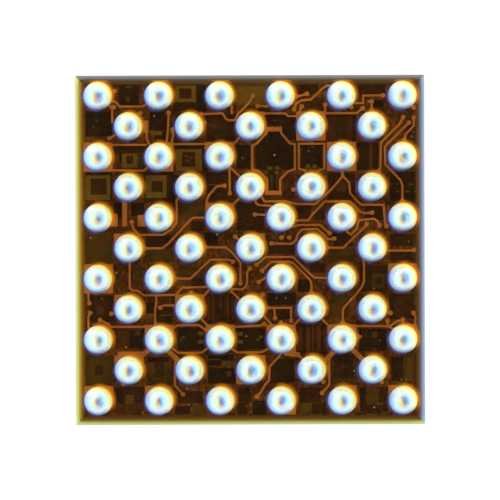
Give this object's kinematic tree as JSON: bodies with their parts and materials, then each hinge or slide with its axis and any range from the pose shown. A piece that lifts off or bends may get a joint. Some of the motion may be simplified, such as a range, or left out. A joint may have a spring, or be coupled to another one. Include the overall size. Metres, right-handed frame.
{
  "type": "wafer-level ball grid array chip",
  "caption": "Small square bare-die chip with a staggered grid of solder balls over copper wiring, seen through amber film.",
  "frame": {"origin": "centre of the back face, the face away from the balls", "axes": "+Z out of the ball side, +Y towards ball row A, +X along the rows as the columns count up"},
  "size_m": [0.0032, 0.0032, 0.0006],
  "materials": {
    "back_coat": "matte dark grey epoxy coat with a fine grain",
    "silicon": "bare silicon: grey, satin on the sawn sides, smoother on the street",
    "circuit": "dense wiring under glass: dark brown, with fine lines and blocks",
    "seal_metal": "metal ring seen orange brown through the film",
    "top_metal": "metal seen olive through the film",
    "circuit_block": "near black blocks of dense circuit",
    "lower_film": "clear amber polyimide",
    "copper": "satin plated copper",
    "upper_film": "clear amber polyimide, glossy",
    "pad_metal": "thin plated pad metal",
    "solder": "bright tin solder, reflowed, with a fine uneven skin"
  },
  "bodies": {
    "root": {"back_coat": "back_coat", "silicon_die": "silicon", "circuit_layer": "circuit", "seal_ring": "seal_metal", "metal_frames": "top_metal", "metal_patches": "top_metal", "circuit_blocks": "circuit_block", "lower_film": "lower_film", "common_copper": "copper", "loop_west": "copper", "loop_east": "copper", "copper_row_A": "copper", "copper_row_B": "copper", "copper_row_C": "copper", "copper_row_D": "copper", "copper_row_E": "copper", "copper_row_F": "copper", "copper_row_G": "copper", "copper_row_H": "copper", "copper_row_J": "copper", "copper_row_K": "copper", "copper_row_L": "copper", "upper_film": "upper_film", "pads_row_A": "pad_metal", "pads_row_B": "pad_metal", "pads_row_C": "pad_metal", "pads_row_D": "pad_metal", "pads_row_E": "pad_metal", "pads_row_F": "pad_metal", "pads_row_G": "pad_metal", "pads_row_H": "pad_metal", "pads_row_J": "pad_metal", "pads_row_K": "pad_metal", "pads_row_L": "pad_metal", "balls_row_A": "solder", "balls_row_B": "solder", "balls_row_C": "solder", "balls_row_D": "solder", "balls_row_E": "solder", "balls_row_F": "solder", "balls_row_G": "solder", "balls_row_H": "solder", "balls_row_J": "solder", "balls_row_K": "solder", "balls_row_L": "solder"}
  },
  "joints": []
}
